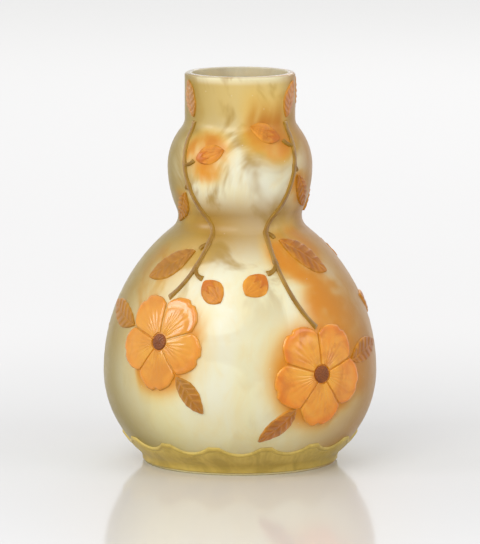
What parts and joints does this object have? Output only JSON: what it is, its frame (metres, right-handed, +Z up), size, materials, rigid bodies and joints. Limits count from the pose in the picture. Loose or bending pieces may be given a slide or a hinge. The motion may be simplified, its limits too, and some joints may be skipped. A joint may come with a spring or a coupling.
{
  "type": "cameo glass vase",
  "caption": "Double-gourd cameo glass vase with a round body, bulbed neck and straight collar, etched with trailing blossoms; stands on its foot and holds cut flowers.",
  "frame": {"origin": "centre of the standing ring, on the surface the vase stands on", "axes": "+Z up along the vase's axis; -Y towards the viewer of the picture, +X to the viewer's right"},
  "size_m": [0.14, 0.14, 0.2],
  "materials": {
    "clear_casing": "clear lining, fire-polished inside",
    "ground_glass": "translucent cream glass with amber and olive clouds, acid-etched satin outside",
    "olive_overlay": "olive-yellow overlay, satin with rounded etched edges",
    "amber_overlay": "amber overlay, softly polished, carved petals thinned towards the heart",
    "heart_overlay": "dark amber-brown overlay, stippled",
    "leaf_overlay": "amber-brown overlay with carved veins",
    "stem_overlay": "olive-brown overlay, rounded",
    "bud_overlay": "amber overlay, carved folds"
  },
  "bodies": {
    "root": {"inner_casing": "clear_casing", "ground_glass": "ground_glass", "foot_band": "olive_overlay", "front_left_petal_1": "amber_overlay", "front_left_petal_2": "amber_overlay", "front_left_petal_3": "amber_overlay", "front_left_petal_4": "amber_overlay", "front_left_petal_5": "amber_overlay", "front_left_heart": "heart_overlay", "front_left_stem": "stem_overlay", "front_left_collar_leaf": "leaf_overlay", "front_left_side_leaf": "leaf_overlay", "front_left_low_leaf": "leaf_overlay", "front_left_bulb_leaf": "leaf_overlay", "front_left_bulb_bud": "bud_overlay", "front_left_shoulder_leaf": "leaf_overlay", "front_left_shoulder_bud": "bud_overlay", "front_right_petal_1": "amber_overlay", "front_right_petal_2": "amber_overlay", "front_right_petal_3": "amber_overlay", "front_right_petal_4": "amber_overlay", "front_right_petal_5": "amber_overlay", "front_right_heart": "heart_overlay", "front_right_stem": "stem_overlay", "front_right_collar_leaf": "leaf_overlay", "front_right_side_leaf": "leaf_overlay", "front_right_low_leaf": "leaf_overlay", "front_right_bulb_leaf": "leaf_overlay", "front_right_bulb_bud": "bud_overlay", "front_right_shoulder_leaf": "leaf_overlay", "front_right_shoulder_bud": "bud_overlay", "back_right_petal_1": "amber_overlay", "back_right_petal_2": "amber_overlay", "back_right_petal_3": "amber_overlay", "back_right_petal_4": "amber_overlay", "back_right_petal_5": "amber_overlay", "back_right_heart": "heart_overlay", "back_right_stem": "stem_overlay", "back_right_collar_leaf": "leaf_overlay", "back_right_side_leaf": "leaf_overlay", "back_right_low_leaf": "leaf_overlay", "back_right_bulb_leaf": "leaf_overlay", "back_right_bulb_bud": "bud_overlay", "back_right_shoulder_leaf": "leaf_overlay", "back_right_shoulder_bud": "bud_overlay", "back_left_petal_1": "amber_overlay", "back_left_petal_2": "amber_overlay", "back_left_petal_3": "amber_overlay", "back_left_petal_4": "amber_overlay", "back_left_petal_5": "amber_overlay", "back_left_heart": "heart_overlay", "back_left_stem": "stem_overlay", "back_left_collar_leaf": "leaf_overlay", "back_left_side_leaf": "leaf_overlay", "back_left_low_leaf": "leaf_overlay", "back_left_bulb_leaf": "leaf_overlay", "back_left_bulb_bud": "bud_overlay", "back_left_shoulder_leaf": "leaf_overlay", "back_left_shoulder_bud": "bud_overlay"}
  },
  "joints": []
}
